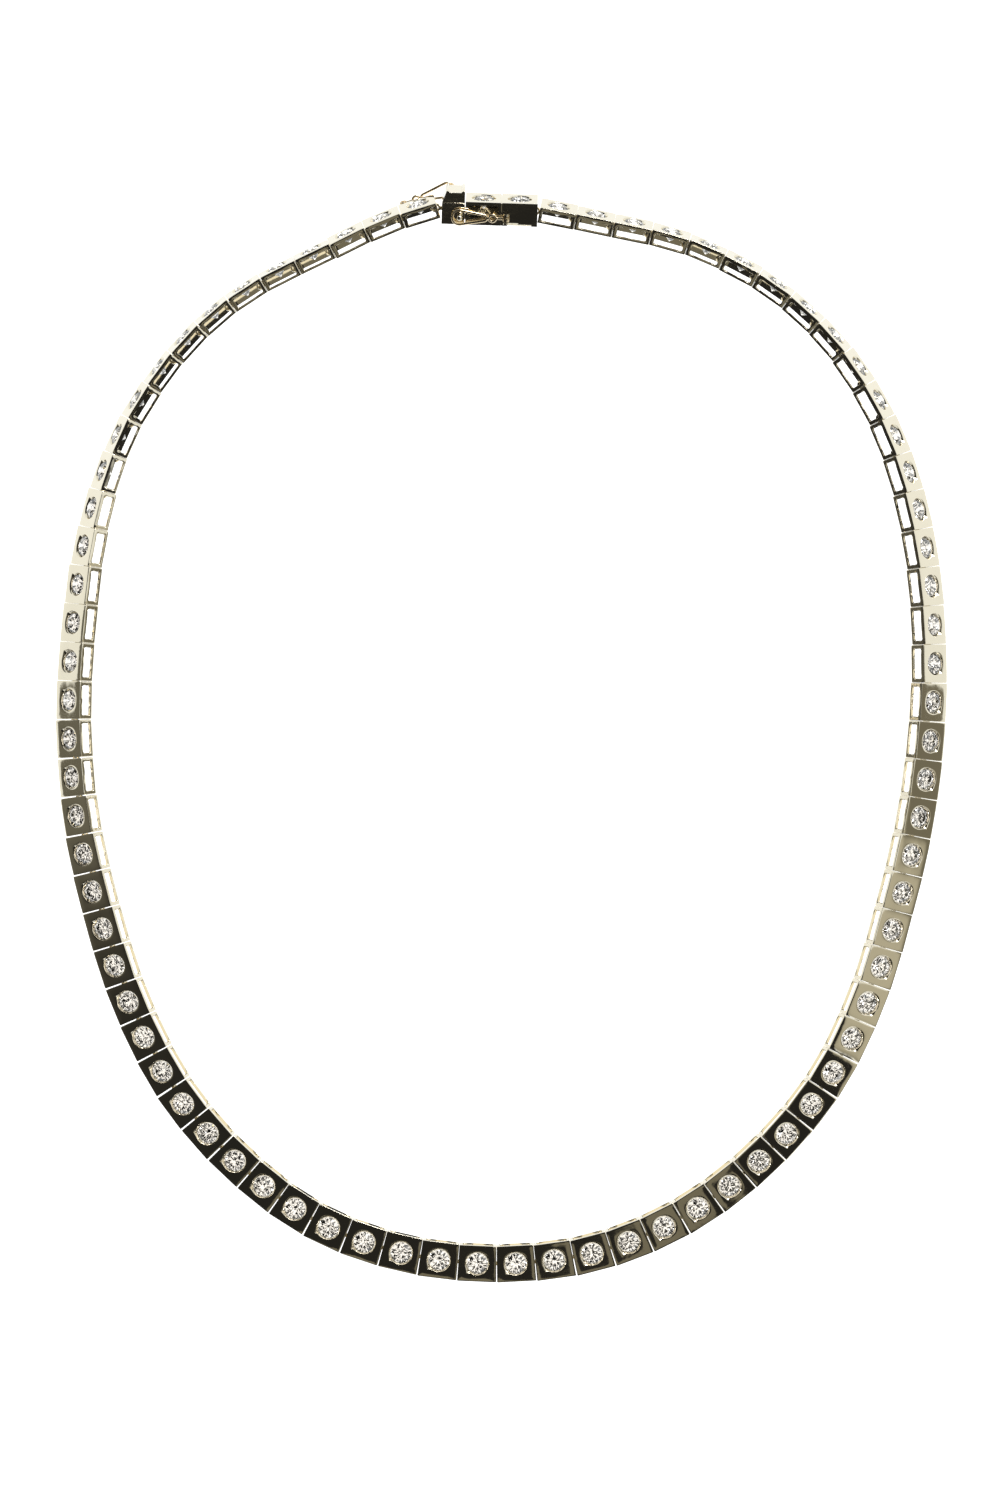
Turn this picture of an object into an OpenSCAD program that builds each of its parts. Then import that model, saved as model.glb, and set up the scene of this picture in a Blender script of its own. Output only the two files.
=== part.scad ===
// Riviere necklace of square box links, each set with one round brilliant.
// The loop lies in an inclined plane as it sits round a neck: the front hangs low towards -Y.
// The origin is the centre of the neck opening.

/* [Necklace] */
// Number of links between the two ends of the clasp
link_count = 77; // [70:1:84]
// Angle of the loop's plane above the horizontal
ring_tilt = 45; // [30:1:60]

/* [Links] */
// Length of a link along the chain
link_len = 5; // [4.9:0.05:5.4]
// Width of a link's square face
link_w = 5.1; // [4.8:0.05:5.3]
// Thickness of a link from its face to its open back
link_t = 2.3; // [2.2:0.05:2.8]
// Gap between one link and the next
end_gap = 0.4; // [0.38:0.01:0.5]
// Thickness of the side and end walls
wall = 0.4; // [0.3:0.02:0.5]
// Thickness of the face plate that holds the stone
face_t = 0.5; // [0.45:0.01:0.6]
// Height of the rail below the side window
rail_t = 0.33; // [0.25:0.01:0.4]
// Length of frame at each end of the side window
window_margin = 0.42; // [0.35:0.01:0.6]
// Radius of the side window's corners
window_r = 0.25; // [0.15:0.01:0.35]

/* [Link rings] */
// Hole radius of the ring that a link carries on its end wall
ring_hole_r = 0.39; // [0.37:0.01:0.42]
// Radial thickness of that ring
ring_wire = 0.26; // [0.2:0.01:0.28]
// Width of that ring across the chain
ring_w = 0.5; // [0.4:0.02:0.6]
// Height of the bar in the next link's end wall that the ring goes round
bar_h = 0.3; // [0.24:0.01:0.32]
// Height of that bar below the middle of a link's thickness
bar_drop = 0.2; // [0.15:0.01:0.22]
// Free space above and below a ring where it passes an end wall
ring_room = 0.12; // [0.11:0.01:0.15]
// Free space on each side of a ring where it passes an end wall
ring_side_room = 0.2; // [0.18:0.01:0.3]

/* [Stones] */
// Girdle diameter of a stone
stone_d = 2.95; // [2.8:0.01:3]
// Diameter of the table
table_d = 1.68; // [1.5:0.01:1.8]
// Height of the crown above the girdle
crown_h = 0.42; // [0.35:0.01:0.48]
// Thickness of the girdle
girdle_h = 0.06; // [0.04:0.01:0.09]
// Depth of the pavilion below the girdle
pavilion_h = 1.27; // [1.15:0.01:1.35]
// Height of the table above the face
table_proud = 0.15; // [0.1:0.01:0.2]
// Clear space between a stone and its seat
stone_gap = 0.1; // [0.09:0.005:0.12]
// Width of the bright cut rim round a stone
seat_rim = 0.12; // [0.08:0.01:0.2]

/* [Clasp] */
// Extra gap between the last link and the thumb piece, where the chain bends most
thumb_room = 0.3; // [0.3:0.01:0.4]
// Length of the thumb piece at the tongue's outer end
thumb_len = 3.2; // [2.9:0.05:3.6]
// Gap between the thumb piece and the box
clasp_seam = 0.12; // [0.1:0.01:0.2]
// Length of the box, which carries two stones
box_len = 10.1; // [9.9:0.05:10.6]
// Depth of the clasp from its face to its floor
clasp_t = 3.3; // [3.1:0.05:3.6]
// Height of the clasp's face above the links' faces
clasp_proud = 0.3; // [0.2:0.02:0.4]
// Thickness of the box's floor
floor_t = 0.35; // [0.3:0.01:0.45]
// Height of the thumb grip above the clasp's face
grip_h = 1.15; // [1.1:0.05:1.3]
// Width and depth of the groove between the box's two halves
groove = 0.14; // [0.1:0.01:0.18]
// Free space round the tongue inside the box
blade_gap = 0.25; // [0.15:0.01:0.35]
// Thickness of the folded tongue
blade_t = 0.8; // [0.6:0.05:0.9]
// Length of the tongue inside the box
blade_len = 4.6; // [4:0.1:5.4]
// Radius of the two ribs on the thumb grip
rib_r = 0.24; // [0.18:0.01:0.3]
// Length of the slanted cut along the foot of the box's second half
foot_cut_len = 3.4; // [2.6:0.1:4]
// Height of that cut
foot_cut_h = 0.45; // [0.3:0.05:0.5]
// Depth of that cut
foot_cut_in = 0.3; // [0.2:0.01:0.35]

/* [Safety catches] */
// Wire diameter of a safety catch
catch_wire = 0.38; // [0.32:0.01:0.4]
// Distance from a catch's hinge to the middle of its small loop
small_loop_x = 1.9; // [1.85:0.05:2.2]
// Middle radius of the small loop
small_loop_r = 0.48; // [0.44:0.01:0.6]
// Middle radius of the long loop's free end
long_loop_r = 1.02; // [0.95:0.01:1.1]
// Middle radius of the long loop's end beside the waist
neck_loop_r = 0.42; // [0.4:0.01:0.5]
// Distance between the middles of the long loop's two ends
long_loop_len = 3.4; // [3.2:0.05:3.5]
// Length of the waist between the two loops
waist_len = 0.3; // [0.2:0.05:0.4]
// Wire diameter of the waist
waist_d = 0.5; // [0.45:0.01:0.6]
// Diameter of the hinge pin
pin_d = 0.4; // [0.36:0.01:0.44]
// Free space round the hinge pin
pin_gap = 0.1; // [0.1:0.01:0.12]
// Wall of the knuckle round the pin
knuckle_wall = 0.2; // [0.15:0.01:0.22]
// Length of the knuckle along the pin
knuckle_len = 0.6; // [0.5:0.02:0.7]
// Free space between the knuckle and each of its lugs
lug_gap = 0.12; // [0.1:0.01:0.2]
// Thickness of a lug
lug_t = 0.35; // [0.3:0.01:0.45]
// Diameter of the peg that the long loop goes round
peg_d = 0.6; // [0.5:0.02:0.66]
// Diameter of the peg's ball head
peg_head_d = 0.84; // [0.76:0.02:0.9]
// Depth of a peg's root in its wall
peg_root = 0.2; // [0.15:0.01:0.3]
// Distance from the wall to the middle of a catch's wire
catch_off = 0.65; // [0.64:0.01:0.75]
// Distance of the near catch's hinge beyond the box's groove
near_hinge_x = 0.65; // [0.5:0.05:0.9]
// Depth of the near catch's line below the middle of a link's thickness
near_hinge_drop = 0.65; // [0.6:0.05:0.7]
// Distance of the far catch's hinge from the last link's end at the clasp
far_hinge_back = 4.4; // [4.3:0.05:4.5]
// Depth of the far catch's line below the last link's face
far_hinge_drop = 0.2; // [0.15:0.05:0.3]

/* [Hidden] */
gold = [0.86, 0.78, 0.55];
brilliant = [0.9, 0.93, 0.96];

// The chain's route in its own plane, seen from the front and above: right, then up.
ROUTE = [
    [5, 73.75], [13.5, 72], [26.2, 69], [38.1, 62.9], [47.8, 53.8], [54.6, 42.2], [58.5, 29.1], [60.1, 15.8],
    [60, 2.5], [58.4, -11], [55.4, -24.1], [51.3, -37.2], [45.4, -49], [36.6, -59.3], [26, -67.3], [13.5, -72.5],
    [0.2, -74.1], [-13, -72.8], [-25.6, -68.3], [-36.2, -60.5], [-45.1, -50.4], [-51.3, -38.5], [-55.6, -25.7],
    [-58.6, -12.5], [-59.8, 0.8], [-59.2, 14.2], [-57.4, 27.5], [-53.7, 40.2], [-46.9, 51.6], [-37.4, 60.9],
    [-25.4, 67.4], [-14.2, 72.6], [-9.05, 74.2]
];
// How far the faces lean outward, clockwise from the clasp: share of the chain, degrees.
LEAN = [
    [0, 70], [0.03, 74], [0.06, 76], [0.105, 75], [0.125, 70], [0.145, 64], [0.165, 59], [0.19, 55],
    [0.215, 52], [0.235, 46], [0.265, 38], [0.29, 33], [0.325, 28], [0.35, 25], [0.385, 17], [0.42, 11],
    [0.475, 8], [0.53, 5], [0.575, 6], [0.61, 12], [0.65, 22], [0.68, 27], [0.705, 33], [0.725, 40],
    [0.745, 46], [0.77, 49], [0.8, 52], [0.82, 57], [0.845, 67], [0.87, 74], [0.895, 79], [0.94, 80],
    [0.97, 76], [1, 72]
];
// Samples on each span between two points of the route
span_steps = 24;

// Link and clasp pitches, from the ring on one end to the bar in the other
link_pitch = link_len + end_gap;
clasp_len = thumb_room + thumb_len + clasp_seam + box_len;
clasp_pitch = clasp_len + end_gap;
chain_len = link_count * link_pitch;
loop_len = chain_len + clasp_pitch;
// The bar stands in the middle of the end wall, and the ring reaches it across the gap
bar_in = wall / 2;
ring_reach = end_gap + bar_in;
ring_r = ring_hole_r + ring_wire;

// A closed cubic through the route's points, with tangents weighted by the two spans
route_n = len(ROUTE);
function pt(i) = ROUTE[(i + route_n) % route_n];
function span(i) = norm(pt(i + 1) - pt(i));
function slope(i) = (pt(i + 1) - pt(i)) / span(i);
function tangent(i) = (slope(i - 1) * span(i) + slope(i) * span(i - 1)) / (span(i - 1) + span(i));
function cubic(i, t) =
    (2 * t * t * t - 3 * t * t + 1) * pt(i) +
    (t * t * t - 2 * t * t + t) * span(i) * tangent(i) +
    (3 * t * t - 2 * t * t * t) * pt(i + 1) +
    (t * t * t - t * t) * span(i) * tangent(i + 1);
samples = [for (i = [0 : route_n - 1], k = [0 : span_steps - 1]) cubic(i, k / span_steps)];
sample_n = len(samples);
function sample(k) = samples[k % sample_n];
travelled = [for (k = 0, s = 0; k <= sample_n; s = s + norm(sample(k + 1) - sample(k)), k = k + 1) s];
route_scale = loop_len / travelled[sample_n];
along_x = [for (k = [0 : sample_n]) [travelled[k] * route_scale, sample(k)[0] * route_scale]];
along_y = [for (k = [0 : sample_n]) [travelled[k] * route_scale, sample(k)[1] * route_scale]];
function wrap(s) = s - loop_len * floor(s / loop_len);
function at(s) = let (d = wrap(s)) [lookup(d, along_x), lookup(d, along_y), 0];

// Joints of the chain: joint i carries the ring of link i and the bar of the link before it
joints = [for (i = [0 : link_count]) at(i * link_pitch)];
function joint(i) = i > link_count ? joints[0] : joints[i];
function lean(i) = i == link_count ? lookup(1, LEAN) : lookup((i + 0.5) / link_count, LEAN);
// Axes of piece i: along the chain, towards the outer side, and out of the face
function axis_t(i) = let (d = joint(i + 1) - joint(i)) d / norm(d);
function axis_r(i) = [-axis_t(i)[1], axis_t(i)[0], 0];
function axis_n(i) = axis_r(i) * sin(lean(i)) + [0, 0, cos(lean(i))];
function axis_o(i) = cross(axis_n(i), axis_t(i));

// Puts its children with their origin at joint i, x along the piece and z out of its face
module on_chain(i) {
    t = axis_t(i);
    o = axis_o(i);
    n = axis_n(i);
    p = joint(i);
    rotate([ring_tilt, 0, 0])
        multmatrix([
            [t[0], o[0], n[0], p[0]],
            [t[1], o[1], n[1], p[1]],
            [t[2], o[2], n[2], p[2]],
            [0, 0, 0, 1]
        ])
            children();
}

// Heights measured from the middle of a link's thickness
link_top = link_t / 2;
link_mid_x = ring_reach + link_len / 2;
bar_z = -bar_drop;
clasp_top = link_top + clasp_proud;
clasp_bottom = clasp_top - clasp_t;
thumb_x = ring_reach + thumb_room;
box_x = thumb_x + thumb_len + clasp_seam;
box_end = box_x + box_len;
half_len = box_len / 2;
blade_z = clasp_bottom + floor_t + blade_gap;

// Stones, seats and windows
stone_r = stone_d / 2;
seat_gap = stone_gap / cos(atan(pavilion_h / stone_r));
function seat_r(depth) = stone_r + seat_gap - depth * stone_r / pavilion_h;
girdle_top = table_proud - crown_h;
girdle_bottom = girdle_top - girdle_h;

// A round brilliant, its table table_proud above z = 0
module brilliant_cut() {
    mid_r = (stone_r + table_d / 2) / 2 + 0.06;
    mid_z = table_proud - crown_h * 0.5;
    low_r = stone_r * 0.24;
    low_z = girdle_bottom - pavilion_h * (1 - 0.24);
    table = [for (k = [0 : 7]) [table_d / 2 * cos(45 * k), table_d / 2 * sin(45 * k), table_proud]];
    crown = [for (k = [0 : 7]) [mid_r * cos(45 * k + 22.5), mid_r * sin(45 * k + 22.5), mid_z]];
    upper = [for (k = [0 : 15]) [stone_r * cos(22.5 * k), stone_r * sin(22.5 * k), girdle_top]];
    lower = [for (k = [0 : 15]) [stone_r * cos(22.5 * k), stone_r * sin(22.5 * k), girdle_bottom]];
    inner = [for (k = [0 : 7]) [low_r * cos(45 * k + 22.5), low_r * sin(45 * k + 22.5), low_z]];
    tip = [[0, 0, girdle_bottom - pavilion_h]];
    table_faces = [[for (k = [0 : 7]) 7 - k]];
    star_faces = [for (k = [0 : 7]) [k, (k + 1) % 8, 8 + k]];
    bezel_faces = [for (k = [0 : 7], side = [0, 1])
        side == 0 ? [k, 8 + k, 16 + 2 * k] : [k, 16 + 2 * k, 8 + (k + 7) % 8]];
    girdle_facets = [for (k = [0 : 7], side = [0, 1])
        side == 0 ? [8 + k, 16 + 2 * k + 1, 16 + 2 * k] : [8 + k, 16 + (2 * k + 2) % 16, 16 + 2 * k + 1]];
    band_faces = [for (k = [0 : 15], side = [0, 1])
        side == 0 ? [16 + k, 16 + (k + 1) % 16, 32 + k]
                  : [16 + (k + 1) % 16, 32 + (k + 1) % 16, 32 + k]];
    half_faces = [for (k = [0 : 7], side = [0, 1])
        side == 0 ? [32 + 2 * k, 32 + 2 * k + 1, 48 + k] : [32 + 2 * k + 1, 32 + (2 * k + 2) % 16, 48 + k]];
    main_faces = [for (k = [0 : 7], side = [0, 1])
        side == 0 ? [32 + (2 * k + 2) % 16, 48 + (k + 1) % 8, 48 + k] : [48 + k, 48 + (k + 1) % 8, 56]];
    polyhedron(
        points = concat(table, crown, upper, lower, inner, tip),
        faces = concat(table_faces, star_faces, bezel_faces, girdle_facets, band_faces, half_faces, main_faces),
        convexity = 2
    );
}

// The countersunk seat cut through a face plate whose top is z = 0
module seat_cut() {
    mouth_r = stone_r + seat_gap + seat_rim;
    rotate_extrude($fn = 48)
        polygon([
            [0, 1],
            [mouth_r, 1],
            [mouth_r, 0],
            [stone_r + seat_gap, girdle_top],
            [stone_r + seat_gap, girdle_bottom],
            [seat_r(face_t + 0.1 + girdle_bottom), -face_t - 0.1],
            [0, -face_t - 0.1]
        ]);
}

// A rectangle with round corners
module round_rect(w, h, r) {
    translate([r, 0]) square([w - 2 * r, h]);
    translate([0, r]) square([w, h - 2 * r]);
    for (x = [r, w - r], y = [r, h - r]) translate([x, y]) circle(r, $fn = 24);
}

// The window in the inner side wall, w long from x, between the heights low and high
module window_cut(x, w, low, high) {
    translate([x + window_margin, 1.5 * wall - link_w / 2, low])
        rotate([90, 0, 0])
            linear_extrude(2 * wall) round_rect(w - 2 * window_margin, high - low, window_r);
}

// The ring on a piece's first end, round the joint at the origin, and its stem to the wall at reach
module end_ring(reach = ring_reach) {
    translate([0, ring_w / 2, bar_z])
        rotate([90, 0, 0])
            difference() {
                union() {
                    cylinder(r = ring_r, h = ring_w, $fn = 32);
                    translate([0, -ring_wire, 0]) cube([reach + wall / 2, 2 * ring_wire, ring_w]);
                }
                translate([0, 0, -1]) cylinder(r = ring_hole_r, h = ring_w + 2, $fn = 32);
            }
}

// The two openings above and below the bar, in the end wall that starts at x
module ring_slots(x) {
    half_w = ring_w / 2 + ring_side_room;
    high = ring_r + ring_room - bar_h / 2;
    for (z = [bar_z + bar_h / 2, bar_z - bar_h / 2 - high])
        translate([x - wall / 2, -half_w, z]) cube([2 * wall, 2 * half_w, high]);
}

// One box link with its end ring, open at the back and on the side of its window
module link() {
    inside = link_w - 2 * wall;
    difference() {
        union() {
            translate([ring_reach, -link_w / 2, -link_top]) cube([link_len, link_w, link_t]);
            end_ring();
        }
        translate([ring_reach + wall, -inside / 2, -link_top - 1])
            cube([link_len - 2 * wall, inside, link_t - face_t + 1]);
        window_cut(ring_reach, link_len, rail_t - link_top, link_top - face_t);
        translate([link_mid_x, 0, link_top]) seat_cut();
        ring_slots(link_pitch - bar_in);
    }
}

// The last link also carries the far catch's hinge on its outer wall
module links() {
    color(gold) {
        for (i = [0 : link_count - 1]) on_chain(i) link();
        on_chain(link_count - 1) translate(far_hinge) catch_hinge(1, false);
    }
}

module stones() {
    color(brilliant)
        for (i = [0 : link_count - 1])
            on_chain(i) translate([link_mid_x, 0, link_top]) brilliant_cut();
}

module clasp_stones() {
    color(brilliant)
        for (k = [0, 1])
            on_chain(link_count)
                translate([box_x + half_len * (k + 0.5), 0, clasp_top]) brilliant_cut();
}

// A catch's hinge on a wall at y = 0: the pin stands along z, catch_off outside the wall,
// with a lug at its foot and at its top another lug or, where that clears the wall, a round head
knuckle_r = pin_d / 2 + pin_gap + knuckle_wall;
lug_r = pin_d / 2 + knuckle_wall;
wall_root = wall / 2;
module catch_hinge(side, top_lug) {
    lug_z = knuckle_len / 2 + lug_gap;
    pin_h = 2 * lug_z + 2 * lug_t;
    translate([0, side * catch_off, -pin_h / 2]) cylinder(d = pin_d, h = pin_h, $fn = 24);
    for (z = [lug_z, -lug_z - lug_t]) {
        translate([0, side * catch_off, z]) cylinder(r = lug_r, h = lug_t, $fn = 24);
        if (top_lug || z < 0)
            translate([-lug_r, side > 0 ? -wall_root : -catch_off, z])
                cube([2 * lug_r, catch_off + wall_root, lug_t]);
    }
}

// The peg that stands out of a wall at y = 0, with its ball head beyond the wire, whose middle is off the wall
module catch_peg(side, off) {
    reach = off + catch_wire;
    rotate([side > 0 ? -90 : 90, 0, 0]) {
        translate([0, 0, -peg_root]) cylinder(d = peg_d, h = reach + peg_root, $fn = 24);
        translate([0, 0, reach]) sphere(d = peg_head_d, $fn = 24);
    }
}

// One straight wire of length len along x
module wire(len, d = catch_wire) {
    rotate([0, 90, 0]) cylinder(d = d, h = len, $fn = 24);
}

// A bent wire in the wall's plane, turning round y
module wire_arc(r, from, sweep) {
    rotate([90, 0, 0])
        rotate([0, 0, from])
            rotate_extrude(angle = sweep, $fn = 48) translate([r, 0]) circle(d = catch_wire, $fn = 24);
}

// The figure of eight along x: knuckle at the origin, small loop, then the long loop that widens to its free end
long_loop_x = small_loop_x + small_loop_r + waist_len + neck_loop_r;
peg_x = long_loop_x + long_loop_len;
loop_flare = asin((long_loop_r - neck_loop_r) / long_loop_len);
loop_side = long_loop_len * cos(loop_flare);
module figure_eight() {
    difference() {
        union() {
            translate([0, 0, -knuckle_len / 2]) cylinder(r = knuckle_r, h = knuckle_len, $fn = 32);
            wire(small_loop_x - small_loop_r);
        }
        translate([0, 0, -knuckle_len]) cylinder(r = pin_d / 2 + pin_gap, h = 2 * knuckle_len, $fn = 32);
    }
    translate([small_loop_x, 0, 0]) wire_arc(small_loop_r, 0, 360);
    translate([small_loop_x + small_loop_r, 0, 0]) wire(waist_len, waist_d);
    translate([long_loop_x, 0, 0]) {
        wire_arc(neck_loop_r, 90 + loop_flare, 180 - 2 * loop_flare);
        translate([long_loop_len, 0, 0]) wire_arc(long_loop_r, -90 - loop_flare, 180 + 2 * loop_flare);
        for (side = [1, -1])
            rotate([0, -side * loop_flare, 0]) translate([0, 0, side * neck_loop_r]) wire(loop_side);
    }
}

// Where the catches hinge: the near one on the box's inner wall beside its groove,
// the far one on the last link's outer wall, high beside its face
near_hinge = [box_x + half_len + near_hinge_x, -link_w / 2, -near_hinge_drop];
far_hinge = [ring_reach + link_len - far_hinge_back, link_w / 2, link_top - far_hinge_drop];
// The middle of the far catch's free end, in the clasp's frame
far_end_offset = far_hinge + [peg_x, catch_off, 0];
far_end = joint(link_count - 1) - joint(link_count) + axis_t(link_count - 1) * far_end_offset[0]
    + axis_o(link_count - 1) * far_end_offset[1] + axis_n(link_count - 1) * far_end_offset[2];
far_peg = [far_end * axis_t(link_count), far_end * axis_o(link_count), far_end * axis_n(link_count)];
grip_w = link_w - 2 * wall;

// The groove round the face and the side walls, between the box's two halves
module half_groove() {
    translate([box_x + half_len - groove / 2, 0, 0])
        difference() {
            translate([0, -link_w, -clasp_t]) cube([groove, 2 * link_w, 2 * clasp_t]);
            translate([-groove, groove - link_w / 2, -2 * clasp_t])
                cube([3 * groove, link_w - 2 * groove, 2 * clasp_t + clasp_top - groove]);
        }
}

module clasp_box() {
    inside = link_w - 2 * wall;
    color(gold) {
        on_chain(link_count) {
            difference() {
                translate([box_x, -link_w / 2, clasp_bottom]) cube([box_len, link_w, clasp_t]);
                translate([box_end - half_len / 2 - foot_cut_len / 2, -link_w / 2, clasp_bottom])
                    rotate([90, 0, 90])
                        linear_extrude(foot_cut_len)
                            polygon([[-wall, -wall], [foot_cut_in, -wall], [foot_cut_in, 0], [0, foot_cut_h],
                                [-wall, foot_cut_h]]);
                translate([box_x - wall, -inside / 2, clasp_bottom + floor_t])
                    cube([box_len, inside, clasp_t - face_t - floor_t]);
                window_cut(box_x, half_len, rail_t - link_top, clasp_top - face_t);
                for (k = [0, 1])
                    translate([box_x + half_len * (k + 0.5), 0, clasp_top]) seat_cut();
                ring_slots(box_end - wall);
                half_groove();
            }
            translate(near_hinge) catch_hinge(-1, true);
        }
    }
}

module clasp_tongue() {
    grip_top = clasp_top + grip_h;
    slope_len = thumb_len / 6;
    color(gold)
        on_chain(link_count) {
            end_ring(thumb_x);
            translate([thumb_x, -link_w / 2, clasp_bottom])
                cube([thumb_len, link_w, link_top - clasp_bottom]);
            translate([thumb_x, grip_w / 2, 0])
                rotate([90, 0, 0]) {
                    linear_extrude(grip_w)
                        polygon([
                            [0, 0],
                            [thumb_len, 0],
                            [thumb_len, grip_top],
                            [slope_len, grip_top],
                            [0, link_top]
                        ]);
                    for (k = [0, 1])
                        translate([slope_len + rib_r + k * (thumb_len - slope_len - 2 * rib_r), grip_top, 0])
                            cylinder(r = rib_r, h = grip_w, $fn = 24);
                }
            translate([thumb_x + thumb_len - wall, wall + blade_gap - link_w / 2, blade_z])
                cube([blade_len + clasp_seam + wall, link_w - 2 * wall - 2 * blade_gap, blade_t]);
            translate(near_hinge) translate([-peg_x, 0, 0]) catch_peg(-1, catch_off);
            translate([far_peg[0], grip_w / 2, far_peg[2]]) catch_peg(1, far_peg[1] - grip_w / 2);
        }
}

module near_catch() {
    color(gold)
        on_chain(link_count)
            translate(near_hinge) translate([0, -catch_off, 0]) mirror([1, 0, 0]) figure_eight();
}

module far_catch() {
    color(gold)
        on_chain(link_count - 1)
            translate(far_hinge) translate([0, catch_off, 0]) figure_eight();
}

links();
stones();
clasp_box();
clasp_tongue();
clasp_stones();
near_catch();
far_catch();
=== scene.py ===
import math
import random

import bmesh
import bpy
import numpy as np
from mathutils import Matrix, Vector


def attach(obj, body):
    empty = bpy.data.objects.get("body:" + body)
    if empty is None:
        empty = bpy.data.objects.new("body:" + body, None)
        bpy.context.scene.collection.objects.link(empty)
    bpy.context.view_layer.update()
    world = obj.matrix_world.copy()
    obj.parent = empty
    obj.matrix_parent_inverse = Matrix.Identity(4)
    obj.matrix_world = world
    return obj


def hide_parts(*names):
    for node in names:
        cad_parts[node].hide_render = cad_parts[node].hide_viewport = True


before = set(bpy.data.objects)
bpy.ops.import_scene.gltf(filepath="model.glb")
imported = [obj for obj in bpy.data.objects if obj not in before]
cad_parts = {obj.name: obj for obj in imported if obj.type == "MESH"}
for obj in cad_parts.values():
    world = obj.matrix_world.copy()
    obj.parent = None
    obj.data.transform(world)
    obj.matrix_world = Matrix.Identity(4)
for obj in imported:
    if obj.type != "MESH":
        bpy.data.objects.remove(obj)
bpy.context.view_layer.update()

MM = 0.001

# Sizes of the chain, in millimetres, as in the part's source, with slightly tighter window corners
LINK_COUNT = 77
RING_TILT = math.radians(45)
LINK_LEN = 5.0
LINK_W = 5.1
LINK_T = 2.3
END_GAP = 0.4
WALL = 0.4
FACE_T = 0.5
RAIL_T = 0.33
WINDOW_MARGIN = 0.42
WINDOW_R = 0.24
RING_R = 0.65
RING_HOLE_R = 0.39
RING_W = 0.5
BAR_DROP = 0.2
BAR_H = 0.3
SLOT_HALF_W = 0.45
SLOT_HIGH = 0.62
THUMB_ROOM = 0.3
THUMB_LEN = 3.2
CLASP_SEAM = 0.12
BOX_LEN = 10.1
CLASP_PROUD = 0.3

# Sizes of a stone, in millimetres
STONE_R = 1.475
TABLE_R = 0.84
CROWN_H = 0.42
GIRDLE_H = 0.06
PAVILION_H = 1.27
TABLE_PROUD = 0.15

# The chain's route in its own plane, right and up, clockwise from the clasp
ROUTE = [
    (5, 73.75), (13.5, 72), (26.2, 69), (38.1, 62.9), (47.8, 53.8), (54.6, 42.2), (58.5, 29.1),
    (60.1, 15.8), (60, 2.5), (58.4, -11), (55.4, -24.1), (51.3, -37.2), (45.4, -49), (36.6, -59.3),
    (26, -67.3), (13.5, -72.5), (0.2, -74.1), (-13, -72.8), (-25.6, -68.3), (-36.2, -60.5),
    (-45.1, -50.4), (-51.3, -38.5), (-55.6, -25.7), (-58.6, -12.5), (-59.8, 0.8), (-59.2, 14.2),
    (-57.4, 27.5), (-53.7, 40.2), (-46.9, 51.6), (-37.4, 60.9), (-25.4, 67.4), (-14.2, 72.6),
    (-9.05, 74.2),
]

# How far the faces lean outward: share of the chain, degrees
LEAN = [
    (0, 70), (0.03, 74), (0.06, 76), (0.105, 75), (0.125, 70), (0.145, 64), (0.165, 59), (0.19, 55),
    (0.215, 52), (0.235, 46), (0.265, 38), (0.29, 33), (0.325, 28), (0.35, 25), (0.385, 17), (0.42, 11),
    (0.475, 8), (0.53, 5), (0.575, 6), (0.61, 12), (0.65, 22), (0.68, 27), (0.705, 33), (0.725, 40),
    (0.745, 46), (0.77, 49), (0.8, 52), (0.82, 57), (0.845, 67), (0.87, 74), (0.895, 79), (0.94, 80),
    (0.97, 76), (1, 72),
]
SPAN_STEPS = 24

LINK_PITCH = LINK_LEN + END_GAP
CLASP_PITCH = THUMB_ROOM + THUMB_LEN + CLASP_SEAM + BOX_LEN + END_GAP
LOOP_LEN = LINK_COUNT * LINK_PITCH + CLASP_PITCH
LINK_X = END_GAP + WALL / 2
LINK_MID_X = LINK_X + LINK_LEN / 2
LINK_TOP = LINK_T / 2
BOX_X = LINK_X + THUMB_ROOM + THUMB_LEN + CLASP_SEAM
BOX_HALF_LEN = BOX_LEN / 2
CLASP_TOP = LINK_TOP + CLASP_PROUD

# Seeds of the random draws
LINK_SEED = 7
WAVE_SEED = 11
STONE_SEED = 3
CLASP_STONE_SEED = 5


def route_samples():
    """The route as a closed cubic"""
    count = len(ROUTE)
    points = [Vector(p) for p in ROUTE]

    def point(i):
        return points[i % count]

    def span(i):
        return (point(i + 1) - point(i)).length

    def slope(i):
        return (point(i + 1) - point(i)) / span(i)

    def tangent(i):
        return (slope(i - 1) * span(i) + slope(i) * span(i - 1)) / (span(i - 1) + span(i))

    made = []
    for i in range(count):
        for k in range(SPAN_STEPS):
            t = k / SPAN_STEPS
            made.append(
                (2 * t**3 - 3 * t**2 + 1) * point(i)
                + (t**3 - 2 * t**2 + t) * span(i) * tangent(i)
                + (3 * t**2 - 2 * t**3) * point(i + 1)
                + (t**3 - t**2) * span(i) * tangent(i + 1)
            )
    made.append(made[0])
    return np.array([tuple(p) for p in made])


# The route scaled to the loop's length, and the distance along it at each sample
samples = route_samples()
steps = np.linalg.norm(np.diff(samples, axis=0), axis=1)
travelled = np.concatenate([[0], np.cumsum(steps)])
route_scale = LOOP_LEN / travelled[-1]
travelled = travelled * route_scale
samples = samples * route_scale


def at(distance):
    d = distance % LOOP_LEN
    return Vector((np.interp(d, travelled, samples[:, 0]), np.interp(d, travelled, samples[:, 1]), 0))


joints = [at(i * LINK_PITCH) for i in range(LINK_COUNT + 1)]
tilt = Matrix.Rotation(RING_TILT, 3, "X")


def read_table(table, share):
    """A value between the rows of a table of shares and values"""
    return np.interp(share, [row[0] for row in table], [row[1] for row in table])


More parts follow.
